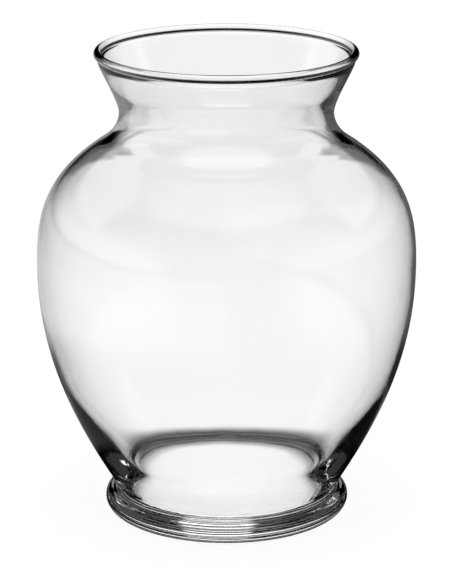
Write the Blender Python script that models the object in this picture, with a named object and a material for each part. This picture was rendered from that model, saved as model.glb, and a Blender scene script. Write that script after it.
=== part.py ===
"""A ginger jar vase in clear glass, 203.5 mm tall: one blown piece with a flared lip, a free-standing
fire-polished rim bead, a pinched neck, a round belly, a thick base with a low dome inside, and a beaded foot
on a flat bearing ring. The wall is one closed profile, outer line and inner line, spun about the Z axis.
Lengths here are in millimetres, and are turned to metres when the mesh is made.
"""

from math import atan2, cos, pi, radians, sin, sqrt

import bmesh
import bpy
from mathutils import Vector

METRES_PER_MM = 0.001

# Outside of the vase
VASE_HEIGHT = 203.5
RIM_RADIUS = 56.0
LIP_LEAN = radians(22.0)
NECK_RADIUS = 45.6
NECK_BELOW_RIM = 27.0
SHOULDER_TURN_RADIUS = 54.1
SHOULDER_TURN_BELOW_RIM = 40.5
SHOULDER_TURN_LEAN = radians(57.0)
BELLY_RADIUS = 81.5
BELLY_HEIGHT = 110.0
LOWER_WALL_LEAN = radians(32.0)

# Rim bead: it stands out from the wall under it on both sides, and blends into it
RIM_BEAD_THICKNESS = 3.4
RIM_BEAD_STANDS_OUT = 0.3
RIM_BEAD_BLEND = radians(50.0)
LIP_BELOW_RIM = 5.0

# Foot: a round bead on a flat bearing ring, with a groove above it and a shallow hollow under it
FOOT_RADIUS = 53.2
FOOT_BEAD_SECTION_RADIUS = 4.2
GROOVE_DEPTH = 4.9
GROOVE_FILLET_RADIUS = 2.5
BEARING_RING_WIDTH = 3.5
UNDERSIDE_HOLLOW_DEPTH = 1.33

# Base: its glass over the hollow, the dome inside, and the tight corner where the wall rises from it
BASE_GLASS = 7.35
BASE_DOME = 1.85
INNER_CORNER_RISE = 5.1
INNER_CORNER_RUN = 3.9

# Wall, measured square to the outer surface, at shares of the vase's height
WALL_BY_HEIGHT = (
    (0.04, 4.7),
    (0.10, 4.8),
    (0.17, 3.3),
    (0.30, 1.7),
    (0.54, 1.5),
    (0.69, 1.8),
    (0.74, 2.2),
    (0.79, 2.8),
    (0.83, 3.7),
    (0.87, 3.6),
    (0.92, 2.8),
    (0.98, 2.6),
)

# How full each curve is: the length of a handle as a share of the curve's chord
LOWER_WALL_FULLNESS = (0.38, 0.35)
SHOULDER_FULLNESS = (0.35, 0.49)
NECK_FULLNESS = (0.35, 0.34)
LIP_FULLNESS = (0.22, 0.28)
BLEND_FULLNESS = (0.35, 0.35)
INNER_CORNER_FULLNESS = (0.26, 0.61)
HOLLOW_POWER = 1.5

# Facets
SIDES = 60
LOWER_WALL_STEPS = 9
SHOULDER_STEPS = 9
NECK_STEPS = 5
LIP_STEPS = 4
BLEND_STEPS = 2
INNER_CORNER_STEPS = 5
DOME_STEPS = 3
HOLLOW_STEPS = 5
ARC_STEP = radians(30.0)

UP = Vector((0.0, 1.0))
OUTWARD = Vector((1.0, 0.0))


def leaning(angle):
    """The unit direction, as (radius, height), that climbs outward at this angle from upright."""
    return Vector((sin(angle), cos(angle)))


def bezier(start, start_way, end, end_way, fullness, steps):
    """Points of a cubic curve that leaves start along start_way and comes into end along end_way."""
    chord = (end - start).length
    first = start + start_way * chord * fullness[0]
    second = end - end_way * chord * fullness[1]
    points = []
    for step in range(steps + 1):
        t = step / steps
        u = 1.0 - t
        points.append(start * u**3 + first * 3 * u * u * t + second * 3 * u * t * t + end * t**3)
    return points


def arc(centre, radius, start_angle, end_angle):
    """Points of an arc in the profile's plane, both ends among them."""
    steps = max(2, round(abs(end_angle - start_angle) / ARC_STEP))
    turn = (end_angle - start_angle) / steps
    return [
        centre + Vector((cos(start_angle + turn * step), sin(start_angle + turn * step))) * radius
        for step in range(steps + 1)
    ]


def arc_way(angle):
    """The direction of travel at this angle of an arc that turns anticlockwise."""
    return Vector((-sin(angle), cos(angle)))


def joined(*runs):
    """One line through several runs of points, with a point that two runs share kept once."""
    line = []
    for run in runs:
        for point in run:
            if not line or (point - line[-1]).length > 1e-4:
                line.append(point)
    return line


def outer_line():
    """The outside, from where the foot bead leaves the bearing ring up to the end of the lip's wall."""
    foot_centre = Vector((FOOT_RADIUS - FOOT_BEAD_SECTION_RADIUS, FOOT_BEAD_SECTION_RADIUS))
    # The groove's fillet touches the bead, so its height follows from the two radii.
    reach = FOOT_BEAD_SECTION_RADIUS + GROOVE_FILLET_RADIUS
    across = FOOT_RADIUS - GROOVE_DEPTH + GROOVE_FILLET_RADIUS - foot_centre.x
    groove_centre = foot_centre + Vector((across, sqrt(reach**2 - across**2)))
    meets_bead = atan2(groove_centre.y - foot_centre.y, groove_centre.x - foot_centre.x)
    foot = arc(foot_centre, FOOT_BEAD_SECTION_RADIUS, -pi / 2, meets_bead)
    groove = arc(groove_centre, GROOVE_FILLET_RADIUS, meets_bead + pi, pi - LOWER_WALL_LEAN)

    belly = Vector((BELLY_RADIUS, BELLY_HEIGHT))
    shoulder_turn = Vector((SHOULDER_TURN_RADIUS, VASE_HEIGHT - SHOULDER_TURN_BELOW_RIM))
    neck = Vector((NECK_RADIUS, VASE_HEIGHT - NECK_BELOW_RIM))
    bead_radius = RIM_BEAD_THICKNESS / 2
    bead_centre = Vector((RIM_RADIUS - bead_radius, VASE_HEIGHT - bead_radius))
    lip_way = leaning(LIP_LEAN)
    wall_out = Vector((lip_way.y, -lip_way.x)) * (bead_radius - RIM_BEAD_STANDS_OUT)
    lip_end = bead_centre + wall_out - lip_way * (LIP_BELOW_RIM - bead_radius) / lip_way.y
    lower = bezier(groove[-1], leaning(LOWER_WALL_LEAN), belly, UP, LOWER_WALL_FULLNESS, LOWER_WALL_STEPS)
    shoulder_way = leaning(-SHOULDER_TURN_LEAN)
    shoulder = bezier(belly, UP, shoulder_turn, shoulder_way, SHOULDER_FULLNESS, SHOULDER_STEPS)
    into_neck = bezier(shoulder_turn, shoulder_way, neck, UP, NECK_FULLNESS, NECK_STEPS)
    lip = bezier(neck, UP, lip_end, lip_way, LIP_FULLNESS, LIP_STEPS)
    return foot, groove, joined(lower, shoulder, into_neck, lip), bead_centre


def wall_at(height):
    """The wall at this height of the outer line, on a smooth curve through the named walls."""
    heights = [share * VASE_HEIGHT for share, wall in WALL_BY_HEIGHT]
    walls = [wall for share, wall in WALL_BY_HEIGHT]
    if height <= heights[0]:
        return walls[0]
    if height >= heights[-1]:
        return walls[-1]
    gaps = [high - low for low, high in zip(heights, heights[1:])]
    slopes = [(above - below) / gap for below, above, gap in zip(walls, walls[1:], gaps)]

    def tangent(i):
        if i == 0 or i == len(gaps) or slopes[i - 1] * slopes[i] <= 0:
            return 0.0
        first = 2 * gaps[i] + gaps[i - 1]
        second = gaps[i] + 2 * gaps[i - 1]
        return (first + second) / (first / slopes[i - 1] + second / slopes[i])

    k = max(i for i in range(len(gaps)) if heights[i] <= height)
    t = (height - heights[k]) / gaps[k]
    u = 1 - t
    between = (1 + 2 * t) * u * u * walls[k] + t * t * (3 - 2 * t) * walls[k + 1]
    return between + gaps[k] * t * u * (u * tangent(k) - t * tangent(k + 1))


def inner_line(wall_line):
    """The inside, from the foot up to the end of the lip's wall: the outer line set in by the wall."""
    inside = []
    last = len(wall_line) - 1
    for index, point in enumerate(wall_line):
        way = (wall_line[min(last, index + 1)] - wall_line[max(0, index - 1)]).normalized()
        inside.append(point + Vector((-way.y, way.x)) * wall_at(point.y))
    return inside


def rim_line(outer_end, bead_centre, inner_end):
    """The free bead, with a short blend into the wall's outer side and another into its inner side."""
    lip_way = leaning(LIP_LEAN)
    start = -LIP_LEAN - RIM_BEAD_BLEND
    end = pi - LIP_LEAN + RIM_BEAD_BLEND
    bead = arc(bead_centre, RIM_BEAD_THICKNESS / 2, start, end)
    outer = bezier(outer_end, lip_way, bead[0], arc_way(start), BLEND_FULLNESS, BLEND_STEPS)
    inner = bezier(bead[-1], arc_way(end), inner_end, -lip_way, BLEND_FULLNESS, BLEND_STEPS)
    return joined(outer, bead, inner)


def closed_profile():
    """The whole section: the axis under the base, foot, outside, rim bead, inside and the axis again."""
    foot, groove, wall_line, bead_centre = outer_line()
    inner_floor = UNDERSIDE_HOLLOW_DEPTH + BASE_GLASS
    corner_top = inner_floor + INNER_CORNER_RISE
    inside = [point for point in inner_line(wall_line) if point.y > corner_top]
    rim = rim_line(wall_line[-1], bead_centre, inside[-1])
    wall_way = (inside[1] - inside[0]).normalized()
    corner_end = inside[0] + wall_way * ((corner_top - inside[0].y) / wall_way.y)
    floor_edge = Vector((corner_end.x - INNER_CORNER_RUN, inner_floor))
    corner = bezier(floor_edge, OUTWARD, corner_end, wall_way, INNER_CORNER_FULLNESS, INNER_CORNER_STEPS)
    dome = []
    for step in range(1, DOME_STEPS + 1):
        share = 1 - step / DOME_STEPS
        dome.append(Vector((floor_edge.x * share, inner_floor + BASE_DOME * (1 - share**2))))

    bearing_inner = Vector((foot[0].x - BEARING_RING_WIDTH, 0.0))
    hollow = []
    for step in range(HOLLOW_STEPS):
        turn = pi / 2 * step / HOLLOW_STEPS
        across = bearing_inner.x * cos(turn) ** (2 / HOLLOW_POWER)
        hollow.append(Vector((across, UNDERSIDE_HOLLOW_DEPTH * sin(turn) ** (2 / HOLLOW_POWER))))
    hollow.append(Vector((0.0, UNDERSIDE_HOLLOW_DEPTH)))
    return joined(reversed(hollow), foot, groove, wall_line, rim, reversed(inside), reversed(corner), dome)


def glass_material():
    """Clear soda-lime glass with a trace of green."""
    material = bpy.data.materials.new("clear_glass")
    material.use_nodes = True
    shader = material.node_tree.nodes["Principled BSDF"]
    shader.inputs["Base Color"].default_value = (0.93, 0.97, 0.95, 1.0)
    shader.inputs["Roughness"].default_value = 0.02
    shader.inputs["Metallic"].default_value = 0.0
    shader.inputs["Transmission Weight"].default_value = 1.0
    shader.inputs["IOR"].default_value = 1.51
    return material


def glass_vase():
    """The vase: its section spun once round the Z axis."""
    mesh = bpy.data.meshes.new("glass_vase")
    shape = bmesh.new()
    section = [
        shape.verts.new((point.x * METRES_PER_MM, 0.0, point.y * METRES_PER_MM)) for point in closed_profile()
    ]
    edges = [shape.edges.new(pair) for pair in zip(section, section[1:])]
    bmesh.ops.spin(
        shape,
        geom=section + edges,
        cent=(0.0, 0.0, 0.0),
        axis=(0.0, 0.0, 1.0),
        angle=2 * pi,
        steps=SIDES,
        use_merge=True,
    )
    bmesh.ops.remove_doubles(shape, verts=shape.verts, dist=1e-6)
    bmesh.ops.recalc_face_normals(shape, faces=shape.faces)
    shape.to_mesh(mesh)
    shape.free()
    mesh.shade_smooth()
    mesh.materials.append(glass_material())
    vase = bpy.data.objects.new("glass_vase", mesh)
    bpy.context.scene.collection.objects.link(vase)
    return vase


for old in list(bpy.data.objects):
    bpy.data.objects.remove(old)
glass_vase()
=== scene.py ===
"""Dresses the ginger jar vase: one piece of clear blown glass on a white table, seen as in the photo."""

from math import atan2, cos, pi, radians, sin, sqrt

import bpy
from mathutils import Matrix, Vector


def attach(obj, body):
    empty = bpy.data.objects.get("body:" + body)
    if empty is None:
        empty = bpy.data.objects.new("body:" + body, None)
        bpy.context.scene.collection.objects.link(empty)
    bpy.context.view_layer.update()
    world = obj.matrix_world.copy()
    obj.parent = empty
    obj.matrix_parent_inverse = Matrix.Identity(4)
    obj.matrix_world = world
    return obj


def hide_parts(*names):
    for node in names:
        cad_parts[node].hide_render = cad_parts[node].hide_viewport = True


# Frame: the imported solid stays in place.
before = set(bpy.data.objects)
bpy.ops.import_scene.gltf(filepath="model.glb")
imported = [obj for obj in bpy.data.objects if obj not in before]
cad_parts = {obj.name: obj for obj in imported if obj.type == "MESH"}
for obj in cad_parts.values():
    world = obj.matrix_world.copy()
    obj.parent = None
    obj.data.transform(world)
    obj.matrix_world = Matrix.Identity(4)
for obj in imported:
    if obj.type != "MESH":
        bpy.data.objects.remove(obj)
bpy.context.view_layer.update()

# Camera: it stands in front of the vase, a little over a metre away, and looks down at it by 17 degrees.
# The vase is slightly left of the picture's middle, so the camera stands slightly to the right of its axis.
PHOTO_HEIGHT_PX = 568
FOCAL_LENGTH_PX = 2658.0
SENSOR_HEIGHT_MM = 24.0
CAMERA_DISTANCE = 1.100
CAMERA_HEIGHT = 0.428
CAMERA_TO_THE_RIGHT = 0.00298
AIM_HEIGHT = 0.100
NEAREST_SEEN = 0.01

lens = bpy.data.cameras.new("photo_camera")
lens.sensor_fit = "VERTICAL"
lens.sensor_height = SENSOR_HEIGHT_MM
lens.lens = FOCAL_LENGTH_PX / PHOTO_HEIGHT_PX * SENSOR_HEIGHT_MM
lens.clip_start = NEAREST_SEEN
camera = bpy.data.objects.new("photo_camera", lens)
bpy.context.scene.collection.objects.link(camera)
camera.location = (CAMERA_TO_THE_RIGHT, -CAMERA_DISTANCE, CAMERA_HEIGHT)
camera.rotation_euler = (pi / 2 - atan2(CAMERA_HEIGHT - AIM_HEIGHT, CAMERA_DISTANCE), 0.0, 0.0)
bpy.context.scene.camera = camera


# Vase: one piece of clear soda-lime glass, blown round, with a thin belly, a heavy domed base, a foot that
# is a bead under a groove, and a lip fire-polished to a bead. It stands free on the ring under the foot. It
# is made as one section, from the axis round to the axis, that is spun into a closed skin.

# The section, as points of (radius, height) in millimetres, has the solid's sizes and curves in finer
# steps. It goes from the axis under the base, up the outside and over the lip, to the axis inside.
METRES_PER_MM = 0.001
VASE_HEIGHT = 203.5
RIM_RADIUS = 56.0
RIM_BEAD_THICKNESS = 3.4
RIM_BEAD_STANDS_OUT = 0.3
RIM_BEAD_BLEND = radians(50.0)
LIP_LEAN = radians(22.0)
LIP_BELOW_RIM = 5.0
NECK_RADIUS = 45.6
NECK_BELOW_RIM = 27.0
SHOULDER_TURN_RADIUS = 54.1
SHOULDER_TURN_BELOW_RIM = 40.5
SHOULDER_TURN_LEAN = radians(57.0)
BELLY_RADIUS = 81.5
BELLY_HEIGHT = 110.0
LOWER_WALL_LEAN = radians(32.0)
FOOT_RADIUS = 53.2
FOOT_BEAD_SECTION_RADIUS = 4.2
GROOVE_DEPTH = 4.9
GROOVE_FILLET_RADIUS = 2.5
BEARING_RING_WIDTH = 3.5
UNDERSIDE_HOLLOW_DEPTH = 1.33
BASE_GLASS = 7.35
BASE_DOME = 1.85
INNER_CORNER_RISE = 5.1
INNER_CORNER_RUN = 3.9
LOWER_WALL_FULLNESS = (0.38, 0.35)
SHOULDER_FULLNESS = (0.35, 0.49)
NECK_FULLNESS = (0.35, 0.34)
LIP_FULLNESS = (0.22, 0.28)
BLEND_FULLNESS = (0.35, 0.35)
INNER_CORNER_FULLNESS = (0.26, 0.61)
HOLLOW_POWER = 1.5

# The wall's thickness, as (height on the outer line, glass).
WALL_STATIONS = (
    (8.4, 4.7),
    (14.0, 4.65),
    (20.0, 4.8),
    (35.0, 3.35),
    (60.0, 1.7),
    (110.0, 1.5),
    (140.0, 1.8),
    (150.0, 2.2),
    (155.0, 2.6),
    (160.0, 2.8),
    (164.0, 3.15),
    (168.0, 3.65),
    (172.0, 3.7),
    (176.5, 3.6),
    (182.0, 3.3),
    (188.0, 2.8),
    (194.0, 2.7),
    (198.5, 2.6),
)

# Steps along each run of the section. Two points closer than SAME_POINT are one.
HOLLOW_STEPS = 8
BEARING_STEPS = 6
FOOT_STEPS = 26
GROOVE_STEPS = 12
LOWER_WALL_STEPS = 24
SHOULDER_STEPS = 20
NECK_STEPS = 14
LIP_STEPS = 12
BLEND_STEPS = 5
RIM_BEAD_STEPS = 26
INNER_CORNER_STEPS = 20
DOME_STEPS = 10
SAME_POINT = 0.001

# Where the inner surface takes its ripple and its corner marks, and the bearing ring its stipple.
RIPPLE_FULL_FROM_AXIS = 12.0
RIPPLE_NECK_HEIGHT = 160.0
RIPPLE_NECK_SHARE = 0.25
CORNER_MARKS_REACH = 9.0
BEARING_FLATNESS = 0.01
STIPPLE_EDGE = 0.1

UP = Vector((0.0, 1.0))
OUTWARD = Vector((1.0, 0.0))


def leaning(angle):
    """The unit direction, as (radius, height), that climbs outward at this angle from upright."""
    return Vector((sin(angle), cos(angle)))


def bezier(start, start_way, end, end_way, fullness, steps):
    """Points of a cubic curve that leaves start along start_way and comes into end along end_way."""
    chord = (end - start).length
    first = start + start_way * chord * fullness[0]
    second = end - end_way * chord * fullness[1]
    points = []
    for step in range(steps + 1):
        t = step / steps
        u = 1.0 - t
        points.append(start * u**3 + first * 3 * u * u * t + second * 3 * u * t * t + end * t**3)
    return points


def arc(centre, radius, start_angle, end_angle, steps):
    """Points of an arc in the section's plane, both ends among them."""
    turn = (end_angle - start_angle) / steps
    return [
        centre + Vector((cos(start_angle + turn * step), sin(start_angle + turn * step))) * radius
        for step in range(steps + 1)
    ]


def arc_way(angle):
    """The direction of travel at this angle of an arc that turns anticlockwise."""
    return Vector((-sin(angle), cos(angle)))


def joined(*runs):
    """One line through several runs of points, with a point that two runs share kept once."""
    line = []
    for run in runs:
        for point in run:
            if not line or (point - line[-1]).length > SAME_POINT:
                line.append(point)
    return line


def way_at(line, index):
    """The unit direction of travel of a line of points at one of them."""
    return (line[min(index + 1, len(line) - 1)] - line[max(0, index - 1)]).normalized()


def wall_at(height):
    """The glass at this height of the outer line: a monotone cubic curve through the named walls."""
    heights = [station[0] for station in WALL_STATIONS]
    walls = [station[1] for station in WALL_STATIONS]
    if height <= heights[0]:
        return walls[0]
    if height >= heights[-1]:
        return walls[-1]
    gaps = [b - a for a, b in zip(heights, heights[1:])]
    slopes = [(b - a) / gap for a, b, gap in zip(walls, walls[1:], gaps)]
    k = max(i for i in range(len(gaps)) if heights[i] <= height)

    def tangent(i):
        if i == 0 or i == len(gaps):
            return 0.0
        before, after = slopes[i - 1], slopes[i]
        if before * after <= 0:
            return 0.0
        first = 2 * gaps[i] + gaps[i - 1]
        second = gaps[i] + 2 * gaps[i - 1]
        return (first + second) / (first / before + second / after)

    t = (height - heights[k]) / gaps[k]
    u = 1 - t
    ends = (1 + 2 * t) * u * u * walls[k] + t * t * (3 - 2 * t) * walls[k + 1]
    return ends + gaps[k] * t * u * (u * tangent(k) - t * tangent(k + 1))


# The foot's bead and the groove's fillet touch, so their centres stand one radius of each apart.
foot_centre = Vector((FOOT_RADIUS - FOOT_BEAD_SECTION_RADIUS, FOOT_BEAD_SECTION_RADIUS))
reach = FOOT_BEAD_SECTION_RADIUS + GROOVE_FILLET_RADIUS
across = FOOT_RADIUS - GROOVE_DEPTH + GROOVE_FILLET_RADIUS - foot_centre.x
groove_centre = foot_centre + Vector((across, sqrt(reach**2 - across**2)))
meets_bead = atan2(groove_centre.y - foot_centre.y, groove_centre.x - foot_centre.x)
foot = arc(foot_centre, FOOT_BEAD_SECTION_RADIUS, -pi / 2, meets_bead, FOOT_STEPS)
groove = arc(groove_centre, GROOVE_FILLET_RADIUS, meets_bead + pi, pi - LOWER_WALL_LEAN, GROOVE_STEPS)

# The outer line climbs from the groove over belly, shoulder and neck to the lip, and the inner line stands
# off it by the wall.
belly = Vector((BELLY_RADIUS, BELLY_HEIGHT))
shoulder_turn = Vector((SHOULDER_TURN_RADIUS, VASE_HEIGHT - SHOULDER_TURN_BELOW_RIM))
neck = Vector((NECK_RADIUS, VASE_HEIGHT - NECK_BELOW_RIM))
bead_radius = RIM_BEAD_THICKNESS / 2
bead_centre = Vector((RIM_RADIUS - bead_radius, VASE_HEIGHT - bead_radius))
lip_way = leaning(LIP_LEAN)
lip_out = Vector((lip_way.y, -lip_way.x)) * (bead_radius - RIM_BEAD_STANDS_OUT)
lip_end = bead_centre + lip_out - lip_way * (LIP_BELOW_RIM - bead_radius) / lip_way.y
shoulder_way = leaning(-SHOULDER_TURN_LEAN)
outside = joined(
    bezier(groove[-1], leaning(LOWER_WALL_LEAN), belly, UP, LOWER_WALL_FULLNESS, LOWER_WALL_STEPS),
    bezier(belly, UP, shoulder_turn, shoulder_way, SHOULDER_FULLNESS, SHOULDER_STEPS),
    bezier(shoulder_turn, shoulder_way, neck, UP, NECK_FULLNESS, NECK_STEPS),
    bezier(neck, UP, lip_end, lip_way, LIP_FULLNESS, LIP_STEPS),
)
inside = []
for index, point in enumerate(outside):
    way = way_at(outside, index)
    inside.append(point + Vector((-way.y, way.x)) * wall_at(point.y))

bead_start = -LIP_LEAN - RIM_BEAD_BLEND
bead_end = pi - LIP_LEAN + RIM_BEAD_BLEND
bead = arc(bead_centre, bead_radius, bead_start, bead_end, RIM_BEAD_STEPS)
outer_blend = bezier(outside[-1], lip_way, bead[0], arc_way(bead_start), BLEND_FULLNESS, BLEND_STEPS)
inner_blend = bezier(bead[-1], arc_way(bead_end), inside[-1], -lip_way, BLEND_FULLNESS, BLEND_STEPS)

# Inside the base a round corner leads from the wall to a floor that rises in a low dome.
inner_floor = UNDERSIDE_HOLLOW_DEPTH + BASE_GLASS
corner_top = inner_floor + INNER_CORNER_RISE
above = [point for point in inside if point.y > corner_top]
wall_way = (above[1] - above[0]).normalized()
corner_end = above[0] + wall_way * ((corner_top - above[0].y) / wall_way.y)
floor_edge = Vector((corner_end.x - INNER_CORNER_RUN, inner_floor))
corner = bezier(floor_edge, OUTWARD, corner_end, wall_way, INNER_CORNER_FULLNESS, INNER_CORNER_STEPS)
dome = []
for step in range(1, DOME_STEPS + 1):
    share = 1 - step / DOME_STEPS
    dome.append(Vector((floor_edge.x * share, inner_floor + BASE_DOME * (1 - share**2))))

# Under the base a shallow hollow leaves the flat bearing ring.
bearing_inner = Vector((foot[0].x - BEARING_RING_WIDTH, 0.0))
hollow = []
for step in range(HOLLOW_STEPS + 1):
    turn = pi / 2 * step / HOLLOW_STEPS
    run = bearing_inner.x * cos(turn) ** (2 / HOLLOW_POWER)
    rise = UNDERSIDE_HOLLOW_DEPTH * sin(turn) ** (2 / HOLLOW_POWER)
    hollow.append(Vector((run, rise)))
hollow[-1].x = 0.0
bearing = [
    bearing_inner + OUTWARD * BEARING_RING_WIDTH * step / BEARING_STEPS for step in range(BEARING_STEPS + 1)
]
section = joined(
    reversed(hollow), bearing, foot, groove, outside, outer_blend, bead, inner_blend, reversed(above),
    reversed(corner), dome,
)

# Each point also says which way is outward, and how much of the ripple, the marks and the stipple it takes.
SHARES = ("ripple_share", "mark_share", "stipple_share")
line_mesh = bpy.data.meshes.new("vase_section")
line_mesh.from_pydata(
    [(point.x * METRES_PER_MM, 0.0, point.y * METRES_PER_MM) for point in section],
    [(index, index + 1) for index in range(len(section) - 1)],
    [],
)
line_mesh.attributes.new("outward", "FLOAT_VECTOR", "POINT")
for name in SHARES:
    line_mesh.attributes.new(name, "FLOAT", "POINT")
outward = line_mesh.attributes["outward"].data
ripple_share, mark_share, stipple_share = (line_mesh.attributes[name].data for name in SHARES)
first_inside = section.index(above[-1])
for index, point in enumerate(section):
    way = way_at(section, index)
    outward[index].vector = (way.y, 0.0, -way.x)
    by_height = RIPPLE_NECK_SHARE if point.y > RIPPLE_NECK_HEIGHT else 1.0
    rippled = min(1.0, point.x / RIPPLE_FULL_FROM_AXIS) * by_height
    ripple_share[index].value = rippled if index >= first_inside else 0.0
    from_corner = (point - (floor_edge + corner_end) * 0.5).length / CORNER_MARKS_REACH
    mark_share[index].value = max(0.0, 1.0 - from_corner) if index >= first_inside else 0.0
    flat = abs(point.y) < BEARING_FLATNESS
    on_ring = bearing_inner.x + STIPPLE_EDGE < point.x < foot_centre.x + STIPPLE_EDGE
    stipple_share[index].value = 1.0 if flat and on_ring else 0.0

# The glass has no roughness and a bare trace of green.
GLASS_TINT = (0.985, 0.995, 0.99, 1.0)
GLASS_IOR = 1.51
glass = bpy.data.materials.new("clear_glass")
glass.use_nodes = True
shader = glass.node_tree.nodes["Principled BSDF"]
shader.inputs["Base Color"].default_value = GLASS_TINT
shader.inputs["Roughness"].default_value = 0.0
shader.inputs["IOR"].default_value = GLASS_IOR
shader.inputs["Transmission Weight"].default_value = 1.0


class Network:
    """Adds nodes to a tree and links them, with numbers where nothing is linked."""

    def __init__(self, tree):
        self.tree = tree

    def add(self, kind, inputs=None, **settings):
        node = self.tree.nodes.new(kind)
        for name, value in settings.items():
            setattr(node, name, value)
        for name, value in (inputs or {}).items():
            if isinstance(value, bpy.types.NodeSocket):
                self.tree.links.new(value, node.inputs[name])
            else:
                node.inputs[name].default_value = value
        return node

    def math(self, operation, first, second=0.0):
        return self.add("ShaderNodeMath", {0: first, 1: second}, operation=operation).outputs[0]

    def product(self, first, *others):
        """All the factors multiplied, from the first to the last."""
        for factor in others:
            first = self.math("MULTIPLY", first, factor)
        return first

    def length(self, across, along):
        """How long a line is that runs so far across and so far along."""
        return self.math("SQRT", self.math("ADD", self.product(across, across), self.product(along, along)))

    def vector(self, operation, inputs):
        return self.add("ShaderNodeVectorMath", inputs, operation=operation).outputs[0]

    def ramp(self, value, edge, at_low, at_high):
        """A soft step from one level to the other, as the value crosses the edge from its low end up."""
        low, high = edge
        inputs = {"Value": value, "From Min": low, "From Max": high, "To Min": at_low, "To Max": at_high}
        return self.add("ShaderNodeMapRange", inputs, interpolation_type="SMOOTHSTEP").outputs[0]

    def beyond(self, value, edge):
        """One where the value is above this soft edge, and nought below it."""
        return self.ramp(value, edge, 0.0, 1.0)

    def within(self, value, edge):
        """One where the value is below this soft edge, and nought above it."""
        return self.ramp(value, edge, 1.0, 0.0)

    def mix(self, share, first, second):
        return self.add("ShaderNodeMix", {0: share, 2: first, 3: second}, data_type="FLOAT").outputs[0]


# A Geometry Nodes tree spins the section. It then moves the inner surface by a slow ripple, drawn out round
# the vase as in blown glass, and by small marks in the inner corner, and it pits the bearing ring finely.
# From here on sizes are in metres.
SIDES = 368
RIPPLE_HEIGHT = 0.00006
RIPPLE_SCALE = 55.0
RIPPLE_STRETCH = 3.0
CORNER_MARK_HEIGHT = 0.00012
CORNER_MARK_SCALE = 350.0
NOISE_DETAIL = 1.0
STIPPLE_HEIGHT = 0.00002
SEAM_GAP = 0.000001
SEED = 7

tree = bpy.data.node_groups.new("spun_glass", "GeometryNodeTree")
tree.interface.new_socket("Geometry", in_out="INPUT", socket_type="NodeSocketGeometry")
settings = {
    "Sides": ("NodeSocketInt", SIDES),
    "Ripple Height": ("NodeSocketFloat", RIPPLE_HEIGHT),
    "Ripple Scale": ("NodeSocketFloat", RIPPLE_SCALE),
    "Ripple Stretch": ("NodeSocketFloat", RIPPLE_STRETCH),
    "Corner Mark Height": ("NodeSocketFloat", CORNER_MARK_HEIGHT),
    "Corner Mark Scale": ("NodeSocketFloat", CORNER_MARK_SCALE),
    "Stipple Height": ("NodeSocketFloat", STIPPLE_HEIGHT),
    "Seed": ("NodeSocketInt", SEED),
}
identifiers = {}
for name, (kind, value) in settings.items():
    socket = tree.interface.new_socket(name, in_out="INPUT", socket_type=kind)
    identifiers[name] = socket.identifier
tree.interface.new_socket("Geometry", in_out="OUTPUT", socket_type="NodeSocketGeometry")

net = Network(tree)
entry = net.add("NodeGroupInput").outputs
section_line = {"Geometry": entry["Geometry"]}
rows = net.add("GeometryNodeAttributeDomainSize", section_line, component="MESH").outputs["Point Count"]
columns = net.math("ADD", entry["Sides"], 1.0)
grid = net.add("GeometryNodeMeshGrid", {"Vertices X": columns, "Vertices Y": rows}).outputs["Mesh"]
index = net.add("GeometryNodeInputIndex").outputs[0]
row = net.math("MODULO", index, rows)
column = net.math("FLOOR", net.math("DIVIDE", index, rows))
turn = net.product(net.math("DIVIDE", column, entry["Sides"]), 2 * pi)


def from_section(value, data_type):
    """This value of the section's point that stands in the grid point's row."""
    inputs = {"Geometry": entry["Geometry"], "Value": value, "Index": row}
    return net.add("GeometryNodeSampleIndex", inputs, data_type=data_type, domain="POINT").outputs[0]


def named(name, data_type):
    """What the section's points say under this name."""
    value = net.add("GeometryNodeInputNamedAttribute", {"Name": name}, data_type=data_type)
    return from_section(value.outputs["Attribute"], data_type)


def spun(vector):
    """A place or direction of the section, turned about the axis to the grid point's column."""
    inputs = {"Vector": vector, "Angle": turn}
    return net.add("ShaderNodeVectorRotate", inputs, rotation_type="Z_AXIS").outputs[0]


def uneven(where, scale, share, height):
    """A push along the normal that swings in and out by up to this height, where the share is one."""
    inputs = {"Vector": where, "W": entry["Seed"], "Scale": scale, "Detail": NOISE_DETAIL}
    noise = net.add("ShaderNodeTexNoise", inputs, noise_dimensions="4D").outputs[0]
    swing = net.product(net.math("SUBTRACT", noise, 0.5), 2.0)
    return net.product(swing, share, height)


place = spun(from_section(net.add("GeometryNodeInputPosition").outputs[0], "FLOAT_VECTOR"))
normal = spun(named("outward", "FLOAT_VECTOR"))
stretch = net.add("ShaderNodeCombineXYZ", {0: 1.0, 1: 1.0, 2: entry["Ripple Stretch"]}).outputs[0]
drawn_out = net.vector("MULTIPLY", {0: place, 1: stretch})
ripple = uneven(drawn_out, entry["Ripple Scale"], named("ripple_share", "FLOAT"), entry["Ripple Height"])
mark = uneven(place, entry["Corner Mark Scale"], named("mark_share", "FLOAT"), entry["Corner Mark Height"])

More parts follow.
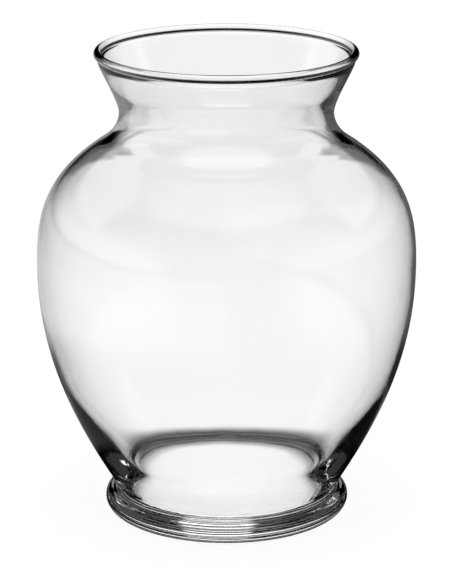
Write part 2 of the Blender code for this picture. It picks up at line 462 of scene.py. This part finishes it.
# The last column of the grid lies on the first, so it takes the same pits.
pick = net.math("MODULO", index, net.product(rows, entry["Sides"]))
drawn = {"ID": pick, "Seed": entry["Seed"]}
speck = net.add("FunctionNodeRandomValue", drawn, data_type="FLOAT").outputs[1]
inward = net.product(entry["Stipple Height"], -1.0)
stipple = net.product(net.product(speck, named("stipple_share", "FLOAT")), inward)
push = net.math("ADD", net.math("ADD", ripple, mark), stipple)
moved = net.vector("ADD", {0: place, 1: net.vector("SCALE", {0: normal, "Scale": push})})
skin = net.add("GeometryNodeSetPosition", {"Geometry": grid, "Position": moved}).outputs[0]
skin = net.add("GeometryNodeMergeByDistance", {"Geometry": skin, "Distance": SEAM_GAP}).outputs[0]
skin = net.add("GeometryNodeSetShadeSmooth", {"Geometry": skin}).outputs[0]
skin = net.add("GeometryNodeRealizeInstances", {"Geometry": skin}).outputs[0]
skin = net.add("GeometryNodeSetMaterial", {"Geometry": skin, "Material": glass}).outputs[0]
net.add("NodeGroupOutput", {"Geometry": skin})

line_mesh.materials.append(glass)
vase = bpy.data.objects.new("blown_glass", line_mesh)
bpy.context.scene.collection.objects.link(vase)
spin = vase.modifiers.new("spin", "NODES")
spin.node_group = tree
for name, (kind, value) in settings.items():
    spin[identifiers[name]] = value
evaluated = vase.evaluated_get(bpy.context.evaluated_depsgraph_get())
skin_mesh = bpy.data.meshes.new_from_object(evaluated)
vase.modifiers.remove(spin)
vase.data = skin_mesh
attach(vase, "root")
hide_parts("glass_vase")


# Table: a plain white matt top, on which the vase just stands. It lies a hair lower than the bearing ring,
# so that the two faces don't coincide. The camera sees it evenly white, with the vase's faint shadow. Left,
# right, front and behind are meant as in the photograph.
TABLE_HALF = 8.0
TABLE_DROP = 0.0004
SEEN_GLOW = 0.885
SEEN_PAINT = (0.5, 0.5, 0.5, 1.0)

# The glass sees the table glow with painted light and shade: white up to 0.8 metres away, brighter under
# the base, with a painted crescent of shade behind the foot, and further off in eight broad painted strips
# of light with dim gaps between them, one strip behind the vase in each main view. A dip is the slope at
# which a place on the table is seen from this height of the vase.
TABLE_LEVEL = 1.09
STRIPS = 8
STRIP_HALF_ANGLE = radians(11.9)
STRIP_SOFT_EDGE = radians(9.8)
SEEN_FROM_HEIGHT = 0.17
GAP_DIPS = (0.14, 0.22)
GAP_LEVEL = 0.11
STRIP_DIPS = (0.038, 0.105)
STRIP_FAR_SHARE = 0.20
STRIP_LEVEL_EDGE = (0.3, 0.6)
STRIP_LEVEL = 0.97
UNDER_EDGE = (0.034, 0.040)
UNDER_LEVEL = 1.35
SHADE_INNER_EDGE = (0.036, 0.047)
SHADE_OUTER_EDGE = (0.045, 0.066)
SHADE_BEHIND = 0.031
SHADE_LEVEL = 0.08

# Light that the glass has turned back once or more finds the table's glow painted dimmer: less dim on the
# left than on the right, dimmest close by, a ring of painted black shade round the foot, and painted bright
# under the base and straight behind the vase. The count of turns is held against a half number, so that it
# always falls clearly to one side.
ONCE_OR_MORE = 0.5
ONCE_SIDES_EDGE = (-0.05, 0.08)
ONCE_LEFT_LEVEL = 0.62
ONCE_RIGHT_LEVEL = 0.10
ONCE_CLOSE_EDGE = (0.18, 0.28)
ONCE_CLOSE_SHARE = 0.2
ONCE_FRONT_BACK_SLANT = (0.5, 0.85)
ONCE_FRONT_BACK_EDGE = (0.13, 0.16)
ONCE_FRONT_BACK_LEVEL = 0.38
ONCE_FAR_EDGE = (0.45, 0.80)
ONCE_FAR_SIDES_EDGE = (-0.30, 0.10)
ONCE_FAR_LEFT_LEVEL = 0.45
ONCE_FAR_RIGHT_LEVEL = 0.10
ONCE_BEHIND_FROM = (0.10, 0.16)
ONCE_BEHIND_TO = (0.24, 0.34)
ONCE_BEHIND_HALF_WIDTH = (0.02, 0.11)
ONCE_BEHIND_LEVEL = 0.9
ONCE_RING_OUTER_EDGE = (0.078, 0.090)
ONCE_RING_LEVEL = 0.0
ONCE_UNDER_EDGE = (0.034, 0.044)
ONCE_UNDER_LEVEL = 1.0

# Light turned back twice or more also finds a painted dim band of shade round the foot, except behind it,
# where there is a painted bright spot. From the sixth turn on it finds all of the table's painted glow
# dimmer.
TWICE_OR_MORE = 1.5
TWICE_BAND_INNER_EDGE = (0.040, 0.044)
TWICE_BAND_OUTER_EDGE = (0.056, 0.060)
TWICE_BAND_BACK_EDGE = (0.02, 0.035)
TWICE_BAND_LEVEL = 0.15
TWICE_SPOT_FROM = (0.052, 0.056)
TWICE_SPOT_TO = (0.14, 0.16)
TWICE_SPOT_HALF_WIDTH = (0.010, 0.022)
TWICE_SPOT_LEVEL = 1.4
SIX_TURNS_EDGE = (5.4, 5.6)
SIX_TURNS_SHARE = 0.3

floor_mesh = bpy.data.meshes.new("table")
corners = [(-1, -1), (1, -1), (1, 1), (-1, 1)]
floor_mesh.from_pydata([(TABLE_HALF * i, TABLE_HALF * j, 0.0) for i, j in corners], [], [(0, 1, 2, 3)])
table = bpy.data.objects.new("table", floor_mesh)
table.location.z = -TABLE_DROP
bpy.context.scene.collection.objects.link(table)
# The table's material: white paint with the vase's real faint shadow for the camera, and a glow of painted
# light and shade for the glass.
table_paint_and_painted_light = bpy.data.materials.new("white_table_with_painted_light")
table_paint_and_painted_light.use_nodes = True
table_paint_and_painted_light.node_tree.nodes.clear()


def strips(net, x, y):
    """One inside the strips of light that point away from the vase's axis, and nought between them."""
    turns = net.math("DIVIDE", net.math("ARCTAN2", x, y), 2 * pi / STRIPS)
    away = net.math("ABSOLUTE", net.math("SUBTRACT", turns, net.math("ROUND", turns)))
    edge = STRIP_HALF_ANGLE / (2 * pi / STRIPS)
    soft = STRIP_SOFT_EDGE / (2 * pi / STRIPS)
    return net.within(away, (edge, edge + soft))


net = Network(table_paint_and_painted_light.node_tree)
path = net.add("ShaderNodeLightPath").outputs
turned_back = path["Glossy Depth"]
where = net.add("ShaderNodeTexCoord").outputs["Object"]
x, y = net.add("ShaderNodeSeparateXYZ", {0: where}).outputs[:2]
distance = net.length(x, y)
off_middle = net.math("ABSOLUTE", x)
lit = strips(net, x, y)

dip = net.math("DIVIDE", SEEN_FROM_HEIGHT, distance)
gap = net.ramp(dip, GAP_DIPS, GAP_LEVEL, TABLE_LEVEL)
strip = net.ramp(distance, STRIP_LEVEL_EDGE, TABLE_LEVEL, STRIP_LEVEL)
strip = net.product(strip, net.ramp(dip, STRIP_DIPS, STRIP_FAR_SHARE, 1.0))
clear = net.mix(lit, gap, strip)
clear = net.mix(net.within(distance, UNDER_EDGE), clear, UNDER_LEVEL)
round_foot = net.beyond(distance, SHADE_INNER_EDGE)
from_shade = net.length(x, net.math("SUBTRACT", y, SHADE_BEHIND))
shade = net.product(round_foot, net.within(from_shade, SHADE_OUTER_EDGE))
clear = net.mix(shade, clear, SHADE_LEVEL)

once = net.ramp(x, ONCE_SIDES_EDGE, ONCE_LEFT_LEVEL, ONCE_RIGHT_LEVEL)
once = net.product(once, net.ramp(distance, ONCE_CLOSE_EDGE, ONCE_CLOSE_SHARE, 1.0))
slant = net.math("DIVIDE", net.math("ABSOLUTE", y), distance)
front_back = net.beyond(slant, ONCE_FRONT_BACK_SLANT)
front_back = net.product(front_back, net.within(distance, ONCE_FRONT_BACK_EDGE))
once = net.mix(front_back, once, ONCE_FRONT_BACK_LEVEL)
far = net.ramp(x, ONCE_FAR_SIDES_EDGE, ONCE_FAR_LEFT_LEVEL, ONCE_FAR_RIGHT_LEVEL)
once = net.mix(net.beyond(distance, ONCE_FAR_EDGE), once, far)
behind = net.product(lit, net.beyond(y, ONCE_BEHIND_FROM), net.within(off_middle, ONCE_BEHIND_HALF_WIDTH))
behind = net.product(behind, net.within(distance, ONCE_BEHIND_TO))
once = net.mix(behind, once, ONCE_BEHIND_LEVEL)
ring = net.product(round_foot, net.within(distance, ONCE_RING_OUTER_EDGE))
once = net.mix(ring, once, ONCE_RING_LEVEL)
once = net.mix(net.within(distance, ONCE_UNDER_EDGE), once, ONCE_UNDER_LEVEL)
level = net.mix(net.math("GREATER_THAN", turned_back, ONCE_OR_MORE), clear, once)

twice = net.math("GREATER_THAN", turned_back, TWICE_OR_MORE)
band = net.product(twice, net.within(y, TWICE_BAND_BACK_EDGE), net.beyond(distance, TWICE_BAND_INNER_EDGE))
band = net.product(band, net.within(distance, TWICE_BAND_OUTER_EDGE))
level = net.mix(band, level, TWICE_BAND_LEVEL)
spot = net.product(twice, net.beyond(y, TWICE_SPOT_FROM), net.within(off_middle, TWICE_SPOT_HALF_WIDTH))
spot = net.product(spot, net.within(distance, TWICE_SPOT_TO))
level = net.mix(spot, level, TWICE_SPOT_LEVEL)
level = net.product(level, net.ramp(turned_back, SIX_TURNS_EDGE, 1.0, SIX_TURNS_SHARE))

# The glass sees the painted light and shade above as the table's glow. The camera sees a white glow and, on
# the paint, the vase's real faint shadow.
glow = net.add("ShaderNodeEmission", {"Strength": level}).outputs[0]
seen_glow = net.add("ShaderNodeEmission", {"Strength": SEEN_GLOW}).outputs[0]
seen_paint = net.add("ShaderNodeBsdfDiffuse", {"Color": SEEN_PAINT}).outputs[0]
seen = net.add("ShaderNodeAddShader", {0: seen_glow, 1: seen_paint}).outputs[0]
surface = net.add("ShaderNodeMixShader", {0: path["Is Camera Ray"], 1: glow, 2: seen}).outputs[0]
net.add("ShaderNodeOutputMaterial", {"Surface": surface})
floor_mesh.materials.append(table_paint_and_painted_light)


# Studio: plain white to the camera. The glass sees a dark room with a soft light overhead, weaker towards
# the back, and a low horizon in the directions of the table's strips. The edges are parts of a unit
# direction: across to the right, away from the front, or up.
SEEN_LEVEL = 1.0
OVERHEAD_EDGE = (0.74, 0.88)
OVERHEAD_LEVEL = 1.0
OVERHEAD_BACK_EDGE = (-0.2, 0.3)
OVERHEAD_BACK_SHARE = 0.6
HORIZON_EDGE = (-0.02, 0.04)
HORIZON_LEVEL = 0.20

# Light that the glass has turned back once also finds a low panel at each side and, higher up at the back,
# a pair of panels that leave the middle free.
LOW_PANEL_BOTTOM = (0.0, 0.10)
LOW_PANEL_TOP = (0.20, 0.55)
LOW_PANEL_LEFT_EDGE = (-0.90, -0.45)
LOW_PANEL_LEFT_LEVEL = 0.9
LOW_PANEL_RIGHT_EDGE = (0.45, 0.90)
LOW_PANEL_RIGHT_LEVEL = 0.5
HIGH_PANEL_BOTTOM = (0.34, 0.42)
HIGH_PANEL_TOP = (0.75, 0.85)
HIGH_PANEL_INNER_EDGE = (0.12, 0.25)
HIGH_PANEL_FRONT_EDGE = (0.0, 0.10)
HIGH_PANEL_LEVEL = 0.85

# Light turned back twice or more finds a bright window behind the vase instead, and from the tenth turn on
# it finds nothing.
WINDOW_FRONT_EDGE = (0.3, 0.4)
WINDOW_BOTTOM = (0.35, 0.38)
WINDOW_TOP = (0.56, 0.60)
WINDOW_MIDDLE = 0.05
WINDOW_HALF_WIDTH = (0.15, 0.21)
WINDOW_LEVEL = 2.0
TEN_TURNS = 9.5

world = bpy.data.worlds.new("studio")
world.use_nodes = True
bpy.context.scene.world = world
net = Network(world.node_tree)
background = world.node_tree.nodes["Background"]
path = net.add("ShaderNodeLightPath").outputs
turned_back = path["Glossy Depth"]
where = net.add("ShaderNodeTexCoord").outputs["Generated"]
across, away, up = net.add("ShaderNodeSeparateXYZ", {0: where}).outputs

overhead = net.ramp(up, OVERHEAD_EDGE, 0.0, OVERHEAD_LEVEL)
overhead = net.product(overhead, net.ramp(away, OVERHEAD_BACK_EDGE, 1.0, OVERHEAD_BACK_SHARE))
horizon = net.product(net.ramp(up, HORIZON_EDGE, HORIZON_LEVEL, 0.0), strips(net, across, away))

once = net.math("COMPARE", turned_back, 1.0)
left = net.ramp(across, LOW_PANEL_LEFT_EDGE, LOW_PANEL_LEFT_LEVEL, 0.0)
right = net.ramp(across, LOW_PANEL_RIGHT_EDGE, 0.0, LOW_PANEL_RIGHT_LEVEL)
low_panels = net.product(net.math("ADD", left, right), net.within(up, LOW_PANEL_TOP))
low_panels = net.product(once, low_panels, net.beyond(up, LOW_PANEL_BOTTOM))
high_panels = net.product(net.beyond(up, HIGH_PANEL_BOTTOM), net.within(up, HIGH_PANEL_TOP))
off_middle = net.math("ABSOLUTE", across)
high_panels = net.product(high_panels, net.ramp(off_middle, HIGH_PANEL_INNER_EDGE, 0.0, HIGH_PANEL_LEVEL))
high_panels = net.product(high_panels, net.beyond(away, HIGH_PANEL_FRONT_EDGE), once)
panels = net.math("ADD", low_panels, high_panels)

twice = net.math("GREATER_THAN", turned_back, TWICE_OR_MORE)
off_window = net.math("ABSOLUTE", net.math("SUBTRACT", across, WINDOW_MIDDLE))
window = net.product(net.beyond(up, WINDOW_BOTTOM), net.within(up, WINDOW_TOP))
window = net.product(window, net.within(off_window, WINDOW_HALF_WIDTH))
window = net.product(net.product(twice, net.beyond(away, WINDOW_FRONT_EDGE)), window, WINDOW_LEVEL)

level = net.math("ADD", net.math("ADD", overhead, horizon), net.math("ADD", panels, window))
level = net.product(level, net.math("LESS_THAN", turned_back, TEN_TURNS))
level = net.mix(path["Is Camera Ray"], level, SEEN_LEVEL)
world.node_tree.links.new(level, background.inputs["Strength"])
background.inputs["Color"].default_value = (1.0, 1.0, 1.0, 1.0)

# Render: plain colours, and enough bounces for light that turns many times inside the glass.
MOST_BOUNCES = 24
MOST_GLASS_BOUNCES = 20
scene = bpy.context.scene
scene.view_settings.view_transform = "Standard"
scene.cycles.max_bounces = MOST_BOUNCES
scene.cycles.glossy_bounces = MOST_GLASS_BOUNCES
scene.cycles.transmission_bounces = MOST_GLASS_BOUNCES
